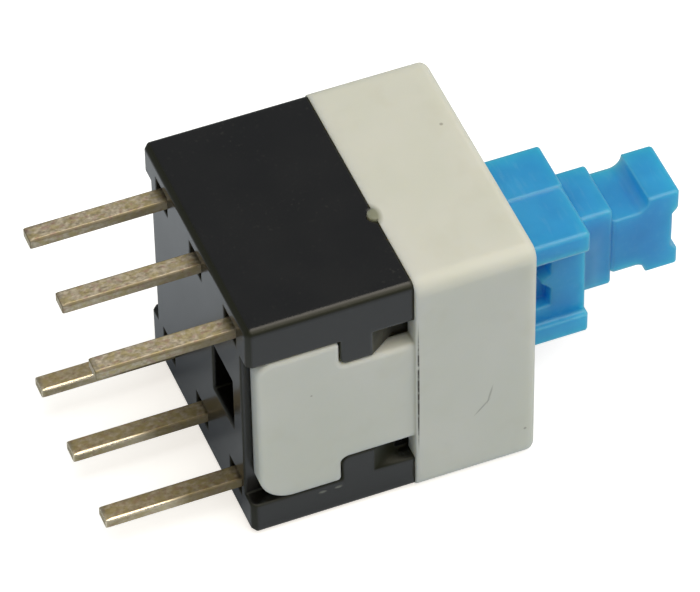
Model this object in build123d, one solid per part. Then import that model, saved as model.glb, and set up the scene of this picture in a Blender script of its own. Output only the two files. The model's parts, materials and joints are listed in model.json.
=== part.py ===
from build123d import *
import os
from math import atan2, cos, hypot

# Latching pushbutton switch for a circuit board: two poles, six flat pins, out position.
# It lies on its side. X runs along the plunger, outward positive. The pins leave towards -X.
# Y runs along a row of pins, with the front tongue on -Y. Z runs across the two rows.
# The origin is the middle of the pin field on the seating plane. All sizes are in millimetres.

# Body
base_depth = 4.7
base_height = 7.9
collar_depth = 3.5
collar_step_y = 0.15
collar_step_z = 0.05
collar_edge_radius = 0.45
collar_face_radius = 0.25
base_edge_radius = 0.2
base_end_chamfer = 0.14
end_wall = 1.0
pocket_depth = 0.55
side_wall = 0.45
spigot_wall = 0.3
spigot_length = 1.2
collar_front_wall = 0.88

# Pins and inner strips
pin_pitch = 2.54
row_spacing = 5.88
pin_length = 3.8
blade_width = 0.6
blade_thickness = 0.34
blade_chamfer = 0.06
tip_taper_length = 0.15
tip_taper = 0.03
shoulder_width = 0.9
shoulder_depth = 0.4
strip_side_gap = 0.01
strip_end_gap = 0.1
pad_width = 1.54
near_pad_length = 1.4
far_pad_length = 1.2

# End face: a lead-in slot at each pin, and a window
slot_depth = 0.4
slot_rise = 0.52
slot_width_back = 0.34
slot_width_front = 0.5
window_width = 1.55
window_height = 1.85
window_y = -1.875
window_z = 0.07

# Front and back tongues of the collar, and the lugs of the base that hold them
front_tongue_z = -0.1
back_tongue_z = 0.23
tongue_proud = 0.05
tongue_end = 0.25
head_length = 2.32
head_height = 5.36
neck_height = 3.62
head_radius_upper = 0.45
head_radius_lower = 0.95
shoulder_radius = 0.12
neck_radius = 0.22
tongue_edge_radius = 0.12
lug_length = 0.9
ramp_length = 0.8

# Gate mark of the collar, in a notch of the base
gate_radius = 0.2
gate_reach = 0.2
gate_y = -1.1
gate_thickness = 0.35
gate_proud = 0.02

# Plunger, from the collar's face outwards
plunger_y = -0.15
plunger_z = -0.05
travel = 2.3
block_reach = 2.36
block_front = 1.9
block_back = 1.67
block_height = 3.92
step_length = 1.07
step_width = 1.94
step_height = 2.88
neck_length = 1.06
stem_height = 2.0
cap_length = 0.93
cap_root_radius = 0.32
cap_notch_height = 1.35
cap_notch_depth = 0.17
plunger_edge_radius = 0.12
plunger_end_chamfer = 0.06
cap_lower_chamfer = 0.1
upper_flange = 0.75
lower_flange = 0.66
web_recess = 0.3
top_step = 0.07

# Plunger, inside the housing
body_front = 2.2
body_back = 2.2
strip_gap = 0.33
bottom_gap = 0.15
stop_gap = 0.05

# Cam recess and latch pin
wire_diameter = 0.35
wire_bend_radius = 0.35
cam_rise = 0.62
cam_depth = 0.42
latched_back_off = 0.5
tip_inset = 0.27
pivot_inset = 0.4
pivot_depth = 0.25
cam_wedge_depth = 0.3

# Return spring
spring_diameter = 1.8
spring_wire = 0.2
spring_turns = 7
spring_facets = 6
spring_y = 0.35
bore_diameter = 2.04
bore_end_wall = 0.27
boss_diameter = 1.1
boss_height = 0.6

# Contact clips
clip_thickness = 0.12
clip_finger_width = 0.6
clip_finger_pitch = 1.75
clip_inset = 0.3
clip_length = 1.6
clip_pocket_depth = 0.45
crown_inset = 0.65

# Leaf spring
leaf_thickness = 0.1
leaf_width = 1.4
leaf_foot = 0.36
leaf_start = 1.0
leaf_end_gap = 0.3
leaf_seat_depth = 0.1

# Clearances
fixed_fit = 0.02
snap_fit = 0.04
running_fit = 0.06
contact_gap = 0.03
track_clearance = 0.085
tip_clearance = 0.1
pivot_fit = 0.04

# Guide ribs inside the base
rib_width = 0.5
back_rib_z = 1.2
front_rib_z = 1.75

# Worked out from the sizes above
row_z = row_spacing / 2
strip_inner = row_z - blade_thickness / 2
cavity_z = row_z + blade_thickness / 2
cavity_y = pin_pitch + blade_width / 2 + strip_side_gap
pocket_floor = cavity_y + side_wall
base_width = 2 * (pocket_floor + pocket_depth)
collar_width = base_width + 2 * collar_step_y
collar_height = base_height + 2 * collar_step_z
spigot_z = cavity_z + spigot_wall
spigot_end = base_depth + spigot_length
face_x = base_depth + collar_depth
front_wall_x = face_x - collar_front_wall
shoulder_x = front_wall_x - stop_gap
inner_x = end_wall + travel + bottom_gap
body_z = strip_inner - strip_gap
block_end = face_x + block_reach
step_end = block_end + step_length
neck_end = step_end + neck_length
cap_end = neck_end + cap_length
web_y = plunger_y - block_front + web_recess
block_top = plunger_z + block_height / 2
block_bottom = plunger_z - block_height / 2
channel_top = block_top - upper_flange
channel_bottom = block_bottom + lower_flange
tip_x = shoulder_x - tip_inset
pivot_x = end_wall + pivot_inset
leg_y = web_y - wire_diameter / 2 - running_fit - fixed_fit
track_floor = web_y + cam_depth
track_half = wire_diameter / 2 + track_clearance
clip_z = body_z - clip_pocket_depth
leaf_first = end_wall + leaf_start
leaf_last = spigot_end - leaf_end_gap


def block(x, y, z):
    """A box between two limits on each axis."""
    size = (x[1] - x[0], y[1] - y[0], z[1] - z[0])
    middle = ((x[0] + x[1]) / 2, (y[0] + y[1]) / 2, (z[0] + z[1]) / 2)
    return Pos(*middle) * Box(*size)


def prism_z(outline, low, high):
    """An outline of X, Y points raised along Z."""
    face = make_face(Polyline(*outline, close=True))
    return Pos(0, 0, low) * extrude(face, high - low, dir=(0, 0, 1))


def prism_y(outline, low, high):
    """An outline of X, Z points raised along Y."""
    face = make_face(Polyline(*[(x, 0, z) for x, z in outline], close=True))
    return Pos(0, low, 0) * extrude(face, high - low, dir=(0, 1, 0))


def both_sides(part):
    """A feature drawn for the front side about a tongue's centre line, and turned round for the back."""
    front = Pos(0, 0, front_tongue_z) * part
    back = Pos(0, 0, back_tongue_z) * Rot(X=180) * part
    return front + back


def edges_along(part, axis, test):
    """The part's straight edges along an axis whose middle passes a test."""
    return [edge for edge in part.edges().filter_by(axis) if test(edge.center())]


def save(node, part):
    export_step(part, f"parts/{node}.step")


def tongue():
    """One T tongue of the collar about its own centre line, with its corners rounded as moulded."""
    head_end = tongue_end + head_length
    half_head = head_height / 2
    half_neck = neck_height / 2
    outline = [
        (base_depth, half_neck),
        (head_end, half_neck),
        (head_end, half_head),
        (tongue_end, half_head),
        (tongue_end, -half_head),
        (head_end, -half_head),
        (head_end, -half_neck),
        (base_depth, -half_neck),
    ]
    front = -(base_width / 2 + tongue_proud)
    back = -(pocket_floor + snap_fit)
    solid = prism_y(outline, front, back)

    def corner(x, z, radius):
        nonlocal solid
        near = edges_along(solid, Axis.Y, lambda c: hypot(c.X - x, c.Z - z) < radius / 4)
        solid = fillet(near, radius)

    corner(tongue_end, half_head, head_radius_upper)
    corner(tongue_end, -half_head, head_radius_lower)
    corner(head_end, half_head, shoulder_radius)
    corner(head_end, -half_head, shoulder_radius)
    corner(head_end, half_neck, neck_radius)
    corner(head_end, -half_neck, neck_radius)
    rim = solid.faces().sort_by(Axis.Y)[0].edges()
    rim = [edge for edge in rim if edge.center().X < base_depth - fixed_fit]
    return fillet(rim, tongue_edge_radius)


def lug(side):
    """One snap lug beside a tongue's neck, above or below it: a flat top, then a ramp to the collar."""
    start = tongue_end + head_length + snap_fit
    top = -base_width / 2
    ramp_start = start + lug_length
    profile = [
        (start, -pocket_floor),
        (start, top),
        (ramp_start, top),
        (ramp_start + ramp_length, -pocket_floor),
    ]
    near = side * (neck_height / 2 + snap_fit)
    far = side * (head_height / 2 + snap_fit)
    solid = prism_z(profile, min(near, far), max(near, far))
    inner = edges_along(solid, Axis.Y, lambda c: c.X < start + snap_fit and abs(c.Z - near) < snap_fit)
    return fillet(inner, neck_radius)


def base_housing():
    half_y = base_width / 2
    half_z = base_height / 2
    shell = block((0, base_depth), (-half_y, half_y), (-half_z, half_z))
    shell = fillet(shell.edges().filter_by(Axis.X), base_edge_radius)
    shell = chamfer(shell.faces().sort_by(Axis.X)[0].edges(), base_end_chamfer)
    shell += block((base_depth, spigot_end), (-pocket_floor, pocket_floor), (-spigot_z, spigot_z))
    shell -= block((end_wall, spigot_end), (-cavity_y, cavity_y), (-cavity_z, cavity_z))

    pocket_z = head_height / 2 + snap_fit
    pocket = block((-1, base_depth), (-base_width, -pocket_floor), (-pocket_z, pocket_z))
    shell -= both_sides(pocket)
    shell += both_sides(lug(1) + lug(-1))

    for row in (-row_z, row_z):
        for place in (-pin_pitch, 0, pin_pitch):
            shell -= pin_opening(place, row)

    window = block(
        (-1, end_wall + 1),
        (window_y - window_width / 2, window_y + window_width / 2),
        (window_z - window_height / 2, window_z + window_height / 2),
    )
    shell -= window

    shell += guide_ribs()
    shell += Pos(end_wall, spring_y, 0) * extrude(
        Plane.YZ * Circle(boss_diameter / 2), boss_height
    )
    shell -= leaf_seat()
    shell -= pivot_hole()
    shell -= gate_notch()
    return shell


def pin_opening(y, z):
    """The hole for one terminal: a lead-in slot outside, the blade's slot, a seat for its shoulders."""
    half_t = blade_thickness / 2 + fixed_fit
    half_w = blade_width / 2 + fixed_fit
    half_s = shoulder_width / 2 + fixed_fit
    lead_in = block(
        (-1, slot_depth), (y - slot_width_front, y + slot_width_back), (z - half_t, z + slot_rise)
    )
    slot = block((0, end_wall), (y - half_w, y + half_w), (z - half_t, z + half_t))
    seat = block(
        (end_wall - shoulder_depth, end_wall), (y - half_s, y + half_s), (z - half_t, z + half_t)
    )
    return lead_in + slot + seat


def guide_ribs():
    """Four ribs along the cavity that the plunger's body slides on."""
    half = rib_width / 2
    back = (body_back + running_fit, cavity_y + side_wall / 2)
    front = (-cavity_y - side_wall / 2, -body_front - running_fit)
    ribs = block((end_wall, spigot_end), back, (back_rib_z - half, back_rib_z + half))
    ribs += block((end_wall, spigot_end), front, (front_rib_z - half, front_rib_z + half))
    return ribs + mirror(ribs, about=Plane.XY)


def leaf_seat():
    """A shallow recess in the cavity's front wall that keeps the leaf spring in place."""
    ends = (leaf_first - snap_fit, leaf_last + snap_fit)
    half = leaf_width / 2 + snap_fit
    return block(ends, (-cavity_y - leaf_seat_depth, -cavity_y + leaf_seat_depth), (-half, half))


def pivot_hole():
    """The blind hole in the front wall that the latch pin turns in."""
    radius = wire_diameter / 2 + pivot_fit
    depth = pivot_depth + tip_clearance / 2
    hole = extrude(Plane.XZ * Circle(radius), depth + cavity_y - body_front)
    return Pos(pivot_x, -body_front, 0) * hole


def gate_notch():
    """The half-round relief in the base's top edge that clears the collar's gate mark."""
    radius = gate_radius + snap_fit
    depth = gate_thickness + snap_fit
    top = base_height / 2
    notch = Pos(base_depth, gate_y, top - depth) * extrude(Circle(radius), depth + 1)
    return notch


def cover_frame():
    half_y = collar_width / 2
    half_z = collar_height / 2
    shell = block((base_depth, face_x), (-half_y, half_y), (-half_z, half_z))
    shell = fillet(shell.edges().filter_by(Axis.X), collar_edge_radius)
    shell = fillet(shell.faces().sort_by(Axis.X)[-1].edges(), collar_face_radius)
    seat_y = pocket_floor + snap_fit
    seat_z = spigot_z + snap_fit
    step_x = spigot_end + snap_fit
    shell -= block((base_depth - 1, step_x), (-seat_y, seat_y), (-seat_z, seat_z))
    shell -= block((base_depth, front_wall_x), (-cavity_y, cavity_y), (-cavity_z, cavity_z))
    opening = block(
        (base_depth, face_x + 1),
        (plunger_y - block_front - running_fit, plunger_y + block_back + running_fit),
        (block_bottom - running_fit, block_top + running_fit),
    )
    shell -= opening
    shell += both_sides(tongue())
    return shell + gate_mark()


def gate_mark():
    """The half-round stub that the moulding gate left on the collar's seam edge."""
    top = collar_height / 2 + gate_proud
    stub = Pos(base_depth, gate_y, top - gate_thickness) * extrude(
        Circle(gate_radius), gate_thickness
    )
    near = block(
        (base_depth - gate_reach, base_depth + gate_reach),
        (gate_y - gate_radius, gate_y + gate_radius),
        (0, top),
    )
    return stub & near


def cap_profile():
    """Stem and cap of the plunger seen from the front, with a hollow root and a notched end."""
    stem = stem_height / 2
    cap = step_height / 2
    root = neck_end - cap_root_radius
    notch = cap_notch_height / 2
    slant = cap_notch_depth
    outline = [
        Line((step_end, 0, stem), (root, 0, stem)),
        ThreePointArc(
            (root, 0, stem),
            (root + cap_root_radius * 0.75, 0, stem + (cap - stem) * 0.3),
            (neck_end, 0, cap),
        ),
        Line((neck_end, 0, cap), (cap_end, 0, cap)),
        Line((cap_end, 0, cap), (cap_end, 0, notch + slant)),
        Line((cap_end, 0, notch + slant), (cap_end - cap_notch_depth, 0, notch)),
        Line((cap_end - cap_notch_depth, 0, notch), (cap_end - cap_notch_depth, 0, 0)),
    ]
    half = Curve() + outline
    other = mirror(half, about=Plane.XY)
    return make_face(half + other + Line((step_end, 0, -stem), (step_end, 0, stem)))


def plunger():
    front = plunger_y - block_front
    back = plunger_y + block_back
    half_step = step_width / 2

    head = extrude(cap_profile(), step_width, dir=(0, 1, 0))
    head = Pos(0, plunger_y - half_step, plunger_z) * head
    head = fillet(head.edges().filter_by(Axis.Z), plunger_edge_radius)
    for side, cut in ((1, plunger_end_chamfer), (-1, cap_lower_chamfer)):
        corner = edges_along(
            head, Axis.Y, lambda c: c.X > neck_end and side * (c.Z - plunger_z) > stem_height / 2
        )
        head = chamfer(corner, cut)

    step = block(
        (block_end, step_end),
        (plunger_y - half_step, plunger_y + half_step),
        (plunger_z - step_height / 2, plunger_z + step_height / 2),
    )
    step = fillet(step.edges().filter_by(Axis.X), plunger_edge_radius)
    step = chamfer(step.faces().sort_by(Axis.X)[-1].edges(), plunger_end_chamfer)

    shoulder = block((shoulder_x, block_end), (front, back), (block_bottom, block_top))
    shoulder -= block((shoulder_x, block_end), (front, plunger_y), (block_top - top_step, block_top))
    shoulder = fillet(
        edges_along(shoulder, Axis.X, lambda c: abs(c.Y - plunger_y) > 1), plunger_edge_radius
    )
    shoulder = chamfer(shoulder.faces().sort_by(Axis.X)[-1].edges(), plunger_end_chamfer)

    body = block((inner_x, shoulder_x), (-body_front, body_back), (-body_z, body_z))
    solid = body + shoulder + step + head

    channel = block(
        (inner_x - 1, block_end + 1), (-body_front - 1, web_y), (channel_bottom, channel_top)
    )
    channel -= block(
        (block_end, block_end + 2), (-body_front - 1, web_y), (channel_bottom, channel_top)
    )
    solid -= channel
    solid -= cam_recess()
    solid -= spring_bore()
    for side in (-1, 1):
        solid -= clip_pocket(side)
    return solid


def spring_bore():
    bore_end = shoulder_x - bore_end_wall
    return Pos(inner_x - 1, spring_y, 0) * extrude(
        Plane.YZ * Circle(bore_diameter / 2), bore_end - inner_x + 1
    )


def clip_pocket(side):
    """The pocket across one face of the plunger's body that a contact clip lies in."""
    start = inner_x + clip_inset
    low, high = sorted((side * clip_z, side * (body_z + 1)))
    end = start + clip_length + 2 * fixed_fit
    return block((start, end), (-body_front - 1, body_back + 1), (low, high))


def cam_recess():
    """The heart-shaped track that the latch pin's tip follows, cut into the web of the plunger."""
    far_x = tip_x + travel
    latch_x = far_x - latched_back_off
    path_angle = atan2(cam_rise, travel)
    stand_off = track_half / cos(path_angle)
    slope = cam_rise / travel

    wall_x = far_x + track_half
    side_z = cam_rise + track_half
    entry = Pos(tip_x, 0) * Circle(track_half)
    entry += Pos(far_x, 0) * Rectangle(2 * track_half, 2 * side_z)
    field = make_hull(entry.edges())

    lobe_x = latch_x + wire_diameter / 2
    lobe = slope * (lobe_x - tip_x) - stand_off
    cleft_x = latch_x - wire_diameter / 2
    nose_x = tip_x + stand_off / slope
    heart = make_face(
        Polyline((nose_x, 0), (lobe_x, lobe), (cleft_x, 0), (lobe_x, -lobe), close=True)
    )
    wedge_tip = wall_x - cam_wedge_depth
    wedge = make_face(
        Polyline(
            (wall_x, cam_rise / 2), (wedge_tip, cam_rise / 6), (wall_x, -cam_rise / 3), close=True
        )
    )
    track = extrude(field - heart - wedge, cam_depth + 0.1)
    return Pos(0, track_floor, 0) * Rot(X=90) * track


def latch_pin():
    """Bent wire: a pivot leg in the base's front wall, a long leg, and a tip in the cam track."""
    pivot_end = -cavity_y - pivot_depth
    tip_end = track_floor - tip_clearance
    path = FilletPolyline(
        (pivot_x, pivot_end, 0),
        (pivot_x, leg_y, 0),
        (tip_x, leg_y, 0),
        (tip_x, tip_end, 0),
        radius=wire_bend_radius,
    )
    section = Plane(origin=(pivot_x, pivot_end, 0), z_dir=(0, 1, 0)) * Circle(wire_diameter / 2)
    return sweep(section, path)


def return_spring():
    """Coil spring with ground ends, from the base's floor to the end of the plunger's bore."""
    start = end_wall
    end = shoulder_x - bore_end_wall
    wound = end - start + 2 * spring_wire
    coil = Helix(
        pitch=wound / spring_turns,
        height=wound,
        radius=(spring_diameter - spring_wire) / 2,
        center=(start - spring_wire, spring_y, 0),
        direction=(1, 0, 0),
    )
    section = (coil ^ 0) * RegularPolygon(spring_wire / 2, spring_facets)
    wire = sweep(section, coil, is_frenet=True)
    room = block(
        (start, end),
        (spring_y - spring_diameter, spring_y + spring_diameter),
        (-spring_diameter, spring_diameter),
    )
    return wire & room


def contact_clip(side):
    """Folded clip: a plate in the plunger's pocket and three fingers that ride on the strips."""
    start = inner_x + clip_inset + fixed_fit
    end = start + clip_length
    half_t = clip_thickness / 2
    low = clip_z + fixed_fit + half_t
    crown = strip_inner - contact_gap - half_t
    crown_x = start + crown_inset
    bend = (crown - low) / 3
    top = low + 2 * bend
    path = FilletPolyline(
        (start, low),
        (end - half_t, low),
        (end - half_t, top),
        (crown_x, crown),
        (start + half_t, top),
        radius=[bend * 0.9, bend * 0.6, bend],
    )
    strip = trace(path, clip_thickness)
    plate_path = Line((start, low), (end - bend - half_t, low))
    plate = trace(plate_path, clip_thickness)
    reach = clip_finger_pitch + clip_finger_width / 2
    clip = raise_along_y(plate, -reach, reach)
    for place in (-clip_finger_pitch, 0, clip_finger_pitch):
        half_w = clip_finger_width / 2
        clip += raise_along_y(strip, place - half_w, place + half_w)
    return clip if side > 0 else mirror(clip, about=Plane.XY)


def raise_along_y(sketch, low, high):
    """A sketch drawn in X and Z, raised from one Y to another."""
    return Pos(0, high, 0) * Rot(X=90) * extrude(sketch, high - low)


def latch_leaf():
    """Thin bowed leaf on the base's front wall that presses the latch pin into the track."""
    seat = -cavity_y - leaf_seat_depth + fixed_fit
    crown = leg_y - wire_diameter / 2 - contact_gap - leaf_thickness
    rise_start = leaf_first + leaf_foot
    rise_end = leaf_last - leaf_foot
    outer = [
        Line((leaf_first, seat), (rise_start, seat)),
        ThreePointArc(
            (rise_start, seat), ((leaf_first + leaf_last) / 2, crown), (rise_end, seat)
        ),
        Line((rise_end, seat), (leaf_last, seat)),
    ]
    lift = Pos(0, leaf_thickness)
    inner = [lift * edge for edge in outer]
    ends = [
        Line((leaf_first, seat), (leaf_first, seat + leaf_thickness)),
        Line((leaf_last, seat), (leaf_last, seat + leaf_thickness)),
    ]
    face = make_face(Curve() + outer + inner + ends)
    return Pos(0, 0, -leaf_width / 2) * extrude(face, leaf_width)


def tapered(half):
    """A pin's outline along X, narrowed at its tip."""
    taper_x = tip_taper_length - pin_length
    end = half - tip_taper
    return [
        (end_wall, -half),
        (taper_x, -half),
        (-pin_length, -end),
        (-pin_length, end),
        (taper_x, half),
        (end_wall, half),
    ]


def terminal(place, row):
    """One stamped terminal: coined pin outside, shoulders in the wall, strip and pad inside."""
    half_w = blade_width / 2
    half_t = blade_thickness / 2
    pin = block((-pin_length, end_wall), (-half_w, half_w), (-half_t, half_t))
    pin = chamfer(pin.edges().filter_by(Axis.X), blade_chamfer)
    pin &= prism_z(tapered(half_w), -half_t, half_t)
    pin &= prism_y(tapered(half_t), -half_w, half_w)
    half_s = shoulder_width / 2
    blade = pin + block((end_wall - shoulder_depth, end_wall), (-half_s, half_s), (-half_t, half_t))

    strip_end = base_depth - strip_end_gap
    near_end = end_wall + strip_end_gap + near_pad_length
    last = near_end if place < 0 else strip_end
    blade += block((end_wall, last), (-half_w, half_w), (-half_t, half_t))
    if place != 0:
        first = end_wall + strip_end_gap if place < 0 else strip_end - far_pad_length
        inward = (half_w, half_w - pad_width) if place > 0 else (-half_w, pad_width - half_w)
        blade += block((first, last), sorted(inward), (-half_t, half_t))
    return Pos(0, place * pin_pitch, row * row_z) * blade


os.makedirs("parts", exist_ok=True)
save("base_housing", base_housing())
save("cover_frame", cover_frame())
save("plunger", plunger())
save("return_spring", return_spring())
save("latch_pin", latch_pin())
save("latch_leaf_spring", latch_leaf())
save("contact_clip_upper", contact_clip(1))
save("contact_clip_lower", contact_clip(-1))
for row_name, row in (("upper", 1), ("lower", -1)):
    for place_name, place in (("back", 1), ("middle", 0), ("front", -1)):
        save(f"terminal_{row_name}_{place_name}", terminal(place, row))
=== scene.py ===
# %% [markdown]
# A latching pushbutton switch, about 17 mm long, that lies on its side on white paper.
# Black base, ivory collar, blue plunger and six tinned pins are what the eye meets first.
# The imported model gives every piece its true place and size, in metres, and this lesson gives them
# their looks: softened moulded edges, plastics with a little sheen, plated metal, and light.

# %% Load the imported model
import json
import math

import bmesh
import bpy
from mathutils import Matrix, Vector


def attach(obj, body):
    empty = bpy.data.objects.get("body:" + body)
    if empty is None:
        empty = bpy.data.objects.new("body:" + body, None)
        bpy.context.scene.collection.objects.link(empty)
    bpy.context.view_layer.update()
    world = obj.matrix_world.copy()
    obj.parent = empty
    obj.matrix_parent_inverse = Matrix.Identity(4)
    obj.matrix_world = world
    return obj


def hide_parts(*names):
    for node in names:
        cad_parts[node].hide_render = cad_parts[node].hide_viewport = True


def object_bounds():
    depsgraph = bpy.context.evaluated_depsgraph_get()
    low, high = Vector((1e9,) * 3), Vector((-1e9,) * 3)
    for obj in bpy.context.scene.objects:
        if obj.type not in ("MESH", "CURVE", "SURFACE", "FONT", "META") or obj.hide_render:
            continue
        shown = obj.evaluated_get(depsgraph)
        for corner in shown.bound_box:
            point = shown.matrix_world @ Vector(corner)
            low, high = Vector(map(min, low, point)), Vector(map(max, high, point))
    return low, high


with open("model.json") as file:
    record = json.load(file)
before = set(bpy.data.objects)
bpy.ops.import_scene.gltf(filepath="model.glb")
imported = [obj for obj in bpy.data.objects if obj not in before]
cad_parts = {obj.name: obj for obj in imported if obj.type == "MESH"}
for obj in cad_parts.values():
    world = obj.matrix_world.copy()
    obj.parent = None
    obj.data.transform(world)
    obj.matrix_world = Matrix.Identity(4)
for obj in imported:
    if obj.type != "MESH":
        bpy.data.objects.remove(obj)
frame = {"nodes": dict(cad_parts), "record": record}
cad_box = [list(corner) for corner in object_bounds()]
MM = 0.001
print("nodes", len(frame["nodes"]), "box", cad_box)

# %% [markdown]
# The photograph was taken from the front left and well above, with a long lens.
# A long lens keeps parallel edges nearly parallel, so the camera stands 147 mm away and is narrow.
# It could be turned by eye until the outlines meet. Here its place, heading and tilt come from
# fitting the switch's straight edges, because a fit is finer than the eye.

# %% Camera
CAMERA_AT = Vector((-32.04, -94.44, 107.69)) * MM
CAMERA_HEADING = math.radians(21.096)
CAMERA_DOWN = math.radians(46.804)
CAMERA_ROLL = math.radians(-1.04)
CAMERA_LENS = 281.36
SENSOR_WIDTH = 36
NEAREST = 0.01

camera_data = bpy.data.cameras.new("camera")
camera_data.lens = CAMERA_LENS
camera_data.sensor_width = SENSOR_WIDTH
camera_data.sensor_fit = "HORIZONTAL"
camera_data.clip_start = NEAREST
camera = bpy.data.objects.new("camera", camera_data)
bpy.context.scene.collection.objects.link(camera)
heading = Matrix.Rotation(-CAMERA_HEADING, 4, "Z")
tilt = Matrix.Rotation(math.pi / 2 - CAMERA_DOWN, 4, "X")
roll = Matrix.Rotation(CAMERA_ROLL, 4, "Z")
camera.matrix_world = Matrix.Translation(CAMERA_AT) @ heading @ tilt @ roll
bpy.context.scene.camera = camera
print("camera", [round(x / MM, 1) for x in camera.location])

# %% [markdown]
# A material is a small network of nodes. It could be wired by hand in the Shader Editor, but in
# code each step can be read, and done again. One function turns a colour, written as it looks on
# a screen, into the linear values that light is worked out in. One fills a node's sockets, and
# one adds a node. Where a whole node is given for a socket, its first output is used.

# %% Colours and nodes


def linear(code):
    """A colour such as #cfcfc0, as linear red, green, blue and alpha."""
    channels = [int(code[i : i + 2], 16) / 255 for i in (1, 3, 5)]
    curve = [c / 12.92 if c <= 0.04045 else ((c + 0.055) / 1.055) ** 2.4 for c in channels]
    return (*curve, 1.0)


def plug(tree, node, **links):
    """Fill sockets, named as in Base_Color or numbered as in _0, with values, nodes or outputs."""
    for name, value in links.items():
        key = int(name[1:]) if name[0] == "_" else name.replace("_", " ")
        if isinstance(value, bpy.types.Node):
            value = value.outputs[0]
        if isinstance(value, bpy.types.NodeSocket):
            tree.links.new(value, node.inputs[key])
        else:
            node.inputs[key].default_value = value


def add(tree, kind, settings=None, **links):
    """Add a node, with its settings and what its sockets are filled with."""
    node = tree.nodes.new(kind)
    for name, value in (settings or {}).items():
        setattr(node, name, value)
    plug(tree, node, **links)
    return node


print("mid grey, linear:", [round(c, 3) for c in linear("#808080")])

# %% [markdown]
# Every finish starts the same way: a Principled surface, and the place of each point on the
# switch in millimetres. Object coordinates stay with a piece when it moves, so a speck of dirt
# moves with it. Working in millimetres makes the size of each grain or mark easy to read.

# %% A new finish


def new_finish(name):
    """An empty material: itself, its tree, its Principled shader and the place in millimetres."""
    material = bpy.data.materials.new(name)
    material.use_nodes = True
    tree = material.node_tree
    spot = add(tree, "ShaderNodeTexCoord").outputs["Object"]
    place = add(tree, "ShaderNodeVectorMath", {"operation": "SCALE"}, _0=spot, Scale=1 / MM)
    return material, tree, tree.nodes["Principled BSDF"], place


finishes = {}

# %% [markdown]
# Wear and dirt come in two kinds. Cloudy blotches lie all over, as dust and tarnish do, and a
# noise texture draws them. A single mark, such as a scratch, lies in one oval place. Both could
# be painted on an image, but shares worked out from the place need none and stay sharp close up.

# %% Blotches and single marks


def blotches(tree, place, size_mm, low=0.35, high=0.65, stretch=(1, 1, 1), detail=2.0):
    """Cloudy patches about size_mm across, 0 below `low` of the noise and 1 above `high`."""
    drawn = add(tree, "ShaderNodeMapping", {"vector_type": "TEXTURE"}, Vector=place, Scale=stretch)
    cloud = add(tree, "ShaderNodeTexNoise", Vector=drawn, Scale=1 / size_mm, Detail=detail)
    return add(tree, "ShaderNodeMapRange", Value=cloud, From_Min=low, From_Max=high)


def mark(tree, place, middle, half, fade, turn=0.0):
    """1 within an oval place on the switch, fading to 0 around it. Turned about Y."""
    settings = {"vector_type": "TEXTURE"}
    about = {"Location": middle, "Rotation": (0, turn, 0), "Scale": half}
    local = add(tree, "ShaderNodeMapping", settings, Vector=place, **about)
    far = add(tree, "ShaderNodeVectorMath", {"operation": "LENGTH"}, _0=local).outputs["Value"]
    return add(tree, "ShaderNodeMapRange", Value=far, From_Min=1 + fade, From_Max=1.0)


def lay_over(tree, under, over, share, most=1.0):
    """A colour laid over another, by a share times `most`. The lower may be a code or an output."""
    amount = add(tree, "ShaderNodeMath", {"operation": "MULTIPLY"}, _0=share, _1=most)
    under = linear(under) if isinstance(under, str) else under
    kind = {"data_type": "RGBA"}
    return add(tree, "ShaderNodeMix", kind, _0=amount, _6=under, _7=linear(over)).outputs[2]


# %% [markdown]
# Handling rubs edges first, and the edges are also where highlights are painted. The Bevel node
# gives a surface whose edges are shaded as if rounded, which costs no faces. Where that shading
# leans away from all three axes there is an edge, because nearly every face of this switch is
# square to an axis. That gives wear and the painted edge highlights their place.

# %% Worn edges, painted edge highlights and grain
EDGE_SAMPLES = 8
SQUARE_TO_AXIS = 0.995
WELL_ROUNDED = 0.85


def softened(tree, radius_mm):
    """The normal with edges rounded, and a share: 1 on edges, 0 on faces square to an axis."""
    soft = add(tree, "ShaderNodeBevel", {"samples": EDGE_SAMPLES}, Radius=radius_mm * MM)
    lean = add(tree, "ShaderNodeVectorMath", {"operation": "ABSOLUTE"}, _0=soft)
    x, y, z = add(tree, "ShaderNodeSeparateXYZ", Vector=lean).outputs
    most = add(tree, "ShaderNodeMath", {"operation": "MAXIMUM"}, _0=x, _1=y)
    most = add(tree, "ShaderNodeMath", {"operation": "MAXIMUM"}, _0=most, _1=z)
    limits = {"From_Min": SQUARE_TO_AXIS, "From_Max": WELL_ROUNDED}
    return soft, add(tree, "ShaderNodeMapRange", Value=most, **limits)


def grain(tree, place, soft, size_mm, depth_mm, stretch=(1, 1, 1)):
    """The fine relief that a mould or a roller leaves, as bump over the softened edges."""
    relief = blotches(tree, place, size_mm, 0.2, 0.8, stretch, 3.0)
    depth = {"Distance": depth_mm * MM, "Strength": 1.0}
    return add(tree, "ShaderNodeBump", Height=relief, Normal=soft, **depth)


# %% [markdown]
# The base is black ABS, injection moulded. The mould was polished, so its faces are dark from
# above and mirror the pale table weakly from the side. Real mould grain is a few hundredths of a
# millimetre wide and wouldn't show, so it is drawn about a tenth wide. Rubbed edges have lost
# their shine, so the lamp draws only a dim line along them, and a faint olive highlight is painted
# over that line. ABS has an IOR near 1.54, and a little more gives the sides the sheen of the
# photograph.

# %% Black base
BURRS = [(2.48, -3.8, -3.04), (2.02, -3.85, -3.05)]
BURR_HALF = (0.07, 0.2, 0.03)


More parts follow.
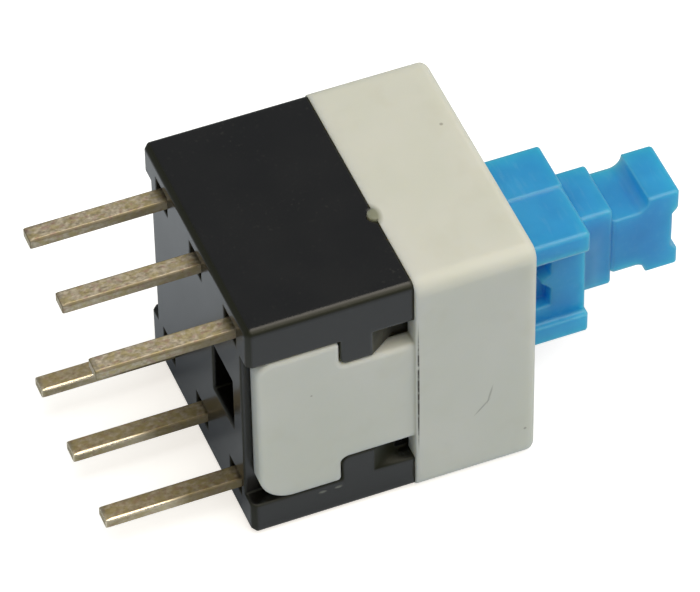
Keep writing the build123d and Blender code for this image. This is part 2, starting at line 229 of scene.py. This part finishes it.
def moulded_black_abs():
    material, tree, shader, place = new_finish("moulded_black_abs")
    cloud = blotches(tree, place, 1.8)
    color = lay_over(tree, "#070604", "#0b0a07", cloud)
    # Dust a tenth of a millimetre across, more of it in some places than in others
    fine = blotches(tree, place, 0.12, 0.62, 0.72)
    drift = blotches(tree, place, 1.4, 0.4, 0.75)
    dust = add(tree, "ShaderNodeMath", {"operation": "MULTIPLY"}, _0=fine, _1=drift)
    color = lay_over(tree, color, "#77766c", dust, 0.1)
    soft, wear_and_highlight_edges = softened(tree, 0.13)
    # Painted highlight: a faint olive line along the edges; the rougher, weaker shine below is wear
    color = lay_over(tree, color, "#2a2c14", wear_and_highlight_edges, 0.45)
    # Small burrs where the collar's tongue was pressed in over the lower strip
    for at in BURRS:
        color = lay_over(tree, color, "#8f9187", mark(tree, place, at, BURR_HALF, fade=1.0), 0.4)
    rough = add(tree, "ShaderNodeMapRange", Value=cloud, To_Min=0.2, To_Max=0.23)
    matt = add(tree, "ShaderNodeMath", {"operation": "MULTIPLY_ADD"}, _0=wear_and_highlight_edges, _1=0.2, _2=rough)
    shine = add(tree, "ShaderNodeMapRange", Value=wear_and_highlight_edges, To_Min=0.54, To_Max=0.25)
    plug(tree, shader, Base_Color=color, Roughness=matt, Specular_IOR_Level=shine, IOR=1.58)
    plug(tree, shader, Normal=grain(tree, place, soft, 0.09, 0.0012))
    return material


finishes["base"] = moulded_black_abs()
print("base:", len(finishes["base"].node_tree.nodes), "nodes")

# %% [markdown]
# The collar is ivory ABS, moulded too, but softer to the eye: light goes a little way in, so its
# edges glow, and subsurface scattering does that here. Dirt has gathered in the step where the
# tongue leaves the collar, and a few specks and one bent, thin scratch show that the switch has
# been handled. The gate mark, where the plastic flowed in, was cut by hand and is yellower.

# %% Ivory collar
SEAM_DIRT = {"middle": (4.755, -3.9, 0.05), "half": (0.022, 0.3, 1.7)}
SCRATCHES = [((6.6, -4.0, -1.43), 0.2, 42.3), ((6.82, -4.0, -1.02), 0.2, 14.0)]
SCRATCH_HALF_WIDTH = 0.018
SPECKS = [((7.86, -4.0, -2.82), 0.03), ((7.61, 1.32, 4.0), 0.035), ((1.75, -3.9, 0.95), 0.02)]
GATE = {"middle": (4.55, -1.1, 3.9), "half": (0.22, 0.3, 0.4)}


def ivory_abs():
    material, tree, shader, place = new_finish("ivory_abs")
    cloud = blotches(tree, place, 2.6)
    color = lay_over(tree, "#cccfc5", "#d0d2ca", cloud)
    color = lay_over(tree, color, "#c0bfae", blotches(tree, place, 0.9, 0.55, 0.8), 0.2)
    ragged = blotches(tree, place, 0.24, 0.28, 0.5, detail=6.0)
    seam = mark(tree, place, **SEAM_DIRT, fade=0.6)
    dirt = add(tree, "ShaderNodeMath", {"operation": "MULTIPLY"}, _0=seam, _1=ragged)
    color = lay_over(tree, color, "#2b2113", dirt, 0.95)
    for at, half_length, lean in SCRATCHES:
        half = (SCRATCH_HALF_WIDTH, 0.2, half_length)
        scratch = mark(tree, place, at, half, fade=1.0, turn=math.radians(lean))
        color = lay_over(tree, color, "#7f8178", scratch, 0.5)
    for at, size in SPECKS:
        speck = mark(tree, place, at, (size, size, size), fade=0.8)
        color = lay_over(tree, color, "#6a6558", speck, 0.5)
    color = lay_over(tree, color, "#72755b", mark(tree, place, **GATE, fade=0.7), 0.85)
    rough = add(tree, "ShaderNodeMapRange", Value=cloud, To_Min=0.52, To_Max=0.6)
    plug(tree, shader, Base_Color=color, Roughness=rough, IOR=1.53)
    plug(tree, shader, Subsurface_Weight=0.7, Subsurface_Scale=0.8 * MM)
    plug(tree, shader, Subsurface_Radius=(1.0, 0.9, 0.7))
    # The mould's grain is drawn coarser than it is, as on the base
    soft, _ = softened(tree, 0.15)
    plug(tree, shader, Normal=grain(tree, place, soft, 0.12, 0.0012))
    return material


finishes["collar"] = ivory_abs()
print("collar:", len(finishes["collar"].node_tree.nodes), "nodes")

# %% [markdown]
# The plunger is blue acetal, the slippery plastic that buttons are made of. It is a little
# translucent, and blue light goes furthest in it, so thin flanges look paler than the thick block,
# and a pale highlight is painted along its edges. Its faces carry fine rubbing marks across the
# stroke. Acetal shrinks as it cools, so its edges look rounder than the mould's.

# %% Blue plunger


def blue_acetal():
    material, tree, shader, place = new_finish("blue_acetal")
    color = lay_over(tree, "#288ec7", "#2f97ce", blotches(tree, place, 1.1))
    rub = blotches(tree, place, 0.14, 0.56, 0.7, (1, 5, 1))
    color = lay_over(tree, color, "#86bcd8", rub, 0.07)
    soft, wear_and_highlight_edges = softened(tree, 0.13)
    # Painted highlight: a pale line along the edges
    color = lay_over(tree, color, "#7db9da", wear_and_highlight_edges, 0.2)
    rough = add(tree, "ShaderNodeMapRange", Value=rub, To_Min=0.32, To_Max=0.46)
    plug(tree, shader, Base_Color=color, Roughness=rough, IOR=1.48)
    plug(tree, shader, Subsurface_Weight=0.8, Subsurface_Scale=3.5 * MM)
    plug(tree, shader, Subsurface_Radius=(0.3, 0.8, 1.0))
    plug(tree, shader, Normal=grain(tree, place, soft, 0.1, 0.001))
    return material


finishes["plunger"] = blue_acetal()
print("plunger:", len(finishes["plunger"].node_tree.nodes), "nodes")

# %% [markdown]
# The pins are stamped from brass strip and tin plated. The plating is satin and finely mottled,
# duller and yellower in patches where it has tarnished, and the lower row is drawn darker and
# yellower all over. A bright highlight is painted along the lower pins' edges near their tips, and
# all the other edges are dull. Real plating is grained too finely to show, so its mottle is drawn
# about a tenth of a millimetre wide.

# %% Plated pins
LOWER_ROW = {"middle": (-2.0, 0, -2.9), "half": (9, 9, 2.5)}
HIGHLIGHTED_TIPS = {"middle": (-3.3, 0, -2.9), "half": (1.2, 9, 2)}
ALONG_PIN = (1.3, 1, 1)


def tin_plated_brass():
    material, tree, shader, place = new_finish("tin_plated_brass")
    mottle = blotches(tree, place, 0.1, 0.34, 0.66, ALONG_PIN, 4.0)
    color = lay_over(tree, "#b2a68e", "#d8ceb9", mottle)
    tarnish = blotches(tree, place, 0.17, 0.45, 0.6, ALONG_PIN, 3.0)
    color = lay_over(tree, color, "#b3a464", tarnish, 0.5)
    blush = blotches(tree, place, 0.14, 0.55, 0.66, ALONG_PIN, 3.0)
    color = lay_over(tree, color, "#b8958a", blush, 0.55)
    # The lower row is drawn darker and yellower all over
    color = lay_over(tree, color, "#9c8440", mark(tree, place, **LOWER_ROW, fade=0.1), 0.3)
    pit = blotches(tree, place, 0.07, 0.64, 0.74, ALONG_PIN)
    color = lay_over(tree, color, "#6d634c", pit, 0.3)
    soft, wear_and_highlight_edges = softened(tree, 0.04)
    tips = mark(tree, place, **HIGHLIGHTED_TIPS, fade=0.6)
    bright = add(tree, "ShaderNodeMath", {"operation": "MULTIPLY"}, _0=wear_and_highlight_edges, _1=tips)
    dull = add(tree, "ShaderNodeMath", {"operation": "SUBTRACT"}, _0=wear_and_highlight_edges, _1=bright)
    # Painted highlight: bright edges near the lower pins' tips
    color = lay_over(tree, color, "#fff2d6", bright)
    color = lay_over(tree, color, "#7a715b", dull, 0.6)
    rough = add(tree, "ShaderNodeMapRange", Value=mottle, To_Min=0.42, To_Max=0.55)
    for share, change in ((dull, 0.25), (bright, -0.2)):
        more = {"_0": share, "_1": change, "_2": rough}
        rough = add(tree, "ShaderNodeMath", {"operation": "MULTIPLY_ADD"}, **more)
    relief = grain(tree, place, soft, 0.06, 0.004, ALONG_PIN)
    plug(tree, shader, Base_Color=color, Metallic=1.0, Roughness=rough, Normal=relief)
    return material


finishes["terminal"] = tin_plated_brass()
print("terminal:", len(finishes["terminal"].node_tree.nodes), "nodes")

# %% [markdown]
# Two metals work inside the housing: phosphor bronze for the folded contacts, and spring steel
# for the coil, the latch pin and the leaf. Both are bright from rolling or drawing, which leaves
# fine lines one way. Hardly any of it shows, so one plain recipe with lines serves both.

# %% Contact and spring metals
LINE_WIDTH = 0.05


def drawn_metal(name, pale, dark, smooth, rough, along):
    """A bright metal with drawing or rolling lines along one direction."""
    material, tree, shader, place = new_finish(name)
    lines = blotches(tree, place, LINE_WIDTH, 0.3, 0.7, along, 3.0)
    color = lay_over(tree, dark, pale, lines)
    gloss = add(tree, "ShaderNodeMapRange", Value=lines, To_Min=smooth, To_Max=rough)
    plug(tree, shader, Base_Color=color, Metallic=1.0, Roughness=gloss)
    return material


bronze = ("rolled_phosphor_bronze", "#d3ab7a", "#b98a55", 0.25, 0.4, (1, 12, 1))
steel = ("drawn_spring_steel", "#b9b9ba", "#8d8d90", 0.2, 0.35, (12, 1, 1))
finishes["contact"] = drawn_metal(*bronze)
finishes["spring_steel"] = drawn_metal(*steel)
print("finishes", [finish.name for finish in finishes.values()])

# %% [markdown]
# No moulded edge is truly sharp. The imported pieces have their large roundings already, and here
# each visible piece gets a copy whose other outward edges are rounded too: its triangles are
# merged to whole faces, the sharp outward edges are picked by their angle, and a bevel rounds
# them. A Bevel modifier limited by angle would be shorter, but it takes the edges inside too, and
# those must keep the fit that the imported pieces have.

# %% Rounding the edges
WELD = 0.001 * MM
FLAT_ANGLE = math.radians(1)
SHARP_ANGLE = math.radians(30)
SMOOTH_ANGLE = math.radians(40)
EDGE_STEPS = 3

slot_of = {row["node"]: row["material_slot"] for row in frame["record"]["subparts"]}
body_of = {
    node: body for body, nodes in frame["record"]["behaviour"]["bodies"].items() for node in nodes
}


def finished(node, radius_mm, hidden):
    """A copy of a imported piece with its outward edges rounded, but not where `hidden` says."""
    piece = bpy.data.objects.new(f"{node}_finished", frame["nodes"][node].data.copy())
    bpy.context.scene.collection.objects.link(piece)
    piece.data.materials.clear()
    piece.data.materials.append(finishes[slot_of[node]])
    bpy.ops.object.select_all(action="DESELECT")
    piece.select_set(True)
    bpy.context.view_layer.objects.active = piece
    bpy.ops.object.mode_set(mode="EDIT")
    bpy.ops.mesh.select_mode(type="EDGE")
    bpy.ops.mesh.select_all(action="SELECT")
    bpy.ops.mesh.remove_doubles(threshold=WELD)
    bpy.ops.mesh.dissolve_limited(angle_limit=FLAT_ANGLE)
    bpy.ops.mesh.select_all(action="DESELECT")
    shape = bmesh.from_edit_mesh(piece.data)
    picked = 0
    for edge in shape.edges:
        middle = (edge.verts[0].co + edge.verts[1].co) / 2 / MM
        if edge.is_manifold and edge.is_convex and edge.calc_face_angle() > SHARP_ANGLE:
            if not hidden(middle):
                edge.select_set(True)
                picked += 1
    bmesh.update_edit_mesh(piece.data)
    bpy.ops.mesh.bevel(
        offset=radius_mm * MM, segments=EDGE_STEPS, affect="EDGES", clamp_overlap=False
    )
    bpy.ops.object.mode_set(mode="OBJECT")
    bpy.ops.object.shade_smooth_by_angle(angle=SMOOTH_ANGLE)
    even = piece.modifiers.new("even_shading", "WEIGHTED_NORMAL")
    even.keep_sharp = True
    bpy.ops.object.modifier_apply(modifier=even.name)
    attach(piece, body_of[node])
    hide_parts(node)
    print(piece.name, "edges rounded", picked, "faces", len(piece.data.polygons))


# %% [markdown]
# The base and the collar are open boxes, and only their outsides are ever seen. The plunger shows
# where it leaves the collar. Each function below says which edges lie inside or meet the gate
# mark, so that the bevel keeps to the others. The radii stay small, because larger ones tore the
# meshes of the base and the plunger, and the finishes soften the edges further.

# %% Base, collar and plunger
MARGIN = 0.05
END_FACE_SKIN = 0.1
BASE_DEPTH = 4.7
POCKET_FLOOR = 3.3
COLLAR_FACE = 8.2
COLLAR_CEILING = 3.4
GATE_LOWEST = 3.0
GATE_PAST_BASE = 0.25
GATE_REACH = 0.5
PLUNGER_SHOWS_FROM = 7.5
BASE_ROUNDING, COLLAR_ROUNDING, PLUNGER_ROUNDING = 0.035, 0.045, 0.02


def inside_base(at):
    in_cavity = at.x > END_FACE_SKIN and abs(at.y) < POCKET_FLOOR - MARGIN
    return in_cavity or at.x > BASE_DEPTH - MARGIN


def inside_collar(at):
    in_cavity = at.x < COLLAR_FACE - MARGIN and abs(at.y) < POCKET_FLOOR - MARGIN
    beside_gate = abs(at.y - GATE["middle"][1]) < GATE_REACH and at.z > GATE_LOWEST
    on_gate = beside_gate and at.x < BASE_DEPTH + GATE_PAST_BASE
    return (in_cavity and at.z < COLLAR_CEILING) or on_gate


def inside_plunger(at):
    return at.x < PLUNGER_SHOWS_FROM


finished("base_housing", BASE_ROUNDING, inside_base)
finished("cover_frame", COLLAR_ROUNDING, inside_collar)
finished("plunger", PLUNGER_ROUNDING, inside_plunger)

# %% [markdown]
# The stamped pins get a finer rounding, about what a die and the plating leave. Their roots, in
# the base, keep their packed edges.

# %% Terminals
PIN_ROUNDING = 0.02
PIN_ROOT = -0.05

for node in slot_of:
    if node.startswith("terminal_"):
        finished(node, PIN_ROUNDING, lambda at: at.x > PIN_ROOT)

# %% [markdown]
# The coil, the latch pin, the leaf and the contact clips are right as they are packed, and only
# need their metals. A copy would add nothing, because the housing hides them.

# %% Inner pieces
for node, slot in slot_of.items():
    if slot in ("contact", "spring_steel"):
        inner = frame["nodes"][node].data
        inner.materials.clear()
        inner.materials.append(finishes[slot])
        print(node, "in", finishes[slot].name)

# %% [markdown]
# The table is a wide sheet of pale matt paper. More light on it would make it white, but would
# wash out the switch. So a little glow that only the camera sees lifts it to white, with the
# switch's soft shadow left on it, and the black plastic mirrors the paper as it is.

# %% Table
FLOOR_GAP = 0.005 * MM
FLOOR_Z = cad_box[0][2] - FLOOR_GAP
FLOOR_SIZE = 3.0
FLOOR_GLOW = 0.72

bpy.ops.mesh.primitive_plane_add(size=FLOOR_SIZE, location=(0, 0, FLOOR_Z))
floor = bpy.context.object
floor.name = "table_of_white_paper"
bpy.ops.object.transform_apply(location=True, rotation=False, scale=False)
print("table at", round(FLOOR_Z / MM, 3), "mm")

# %% Paper
paper, tree, shader, _ = new_finish("matt_white_paper")
plug(tree, shader, Base_Color=linear("#ccd6e2"), Roughness=0.9)
glow = add(tree, "ShaderNodeEmission", Color=linear("#fff8ee"), Strength=FLOOR_GLOW)
lit = add(tree, "ShaderNodeAddShader", _0=shader, _1=glow)
seen = add(tree, "ShaderNodeLightPath").outputs["Is Camera Ray"]
surface = add(tree, "ShaderNodeMixShader", _0=seen, _1=shader, _2=lit)
plug(tree, tree.nodes["Material Output"], Surface=surface)
floor.data.materials.append(paper)
print("paper:", len(tree.nodes), "nodes")

# %% [markdown]
# The photograph's light looks like one large warm lamp overhead, which draws a line along the
# rounded top edges, and a dim, cooler room that fills the front. An area lamp is used, because a
# point or a sun would give a harder shadow, and the world stands for the room. It stays dim so
# that the black top is black.

# %% Lamp
SOFTBOX_AT = Vector((0.12, -0.145, 0.56))
SOFTBOX_SIZE = 0.75
SOFTBOX_WATTS = 4.5

softbox = bpy.data.lights.new("softbox_overhead", "AREA")
softbox.shape = "SQUARE"
softbox.size = SOFTBOX_SIZE
softbox.energy = SOFTBOX_WATTS
softbox.color = linear("#fff6e6")[:3]
hung = bpy.data.objects.new("softbox_overhead", softbox)
bpy.context.scene.collection.objects.link(hung)
switch_middle = (Vector(cad_box[0]) + Vector(cad_box[1])) / 2
hung.location = SOFTBOX_AT
hung.rotation_euler = (switch_middle - SOFTBOX_AT).to_track_quat("-Z", "Y").to_euler()
print("softbox", round((SOFTBOX_AT - switch_middle).length, 3), "m away")

# %% Room
ROOM_STRENGTH = 0.42

room = bpy.data.worlds.new("dim_room")
bpy.context.scene.world = room
room.use_nodes = True
air = {"Color": linear("#c4cad2"), "Strength": ROOM_STRENGTH}
plug(room.node_tree, room.node_tree.nodes["Background"], **air)
bpy.context.scene.view_settings.view_transform = "Standard"
print("room strength", ROOM_STRENGTH)
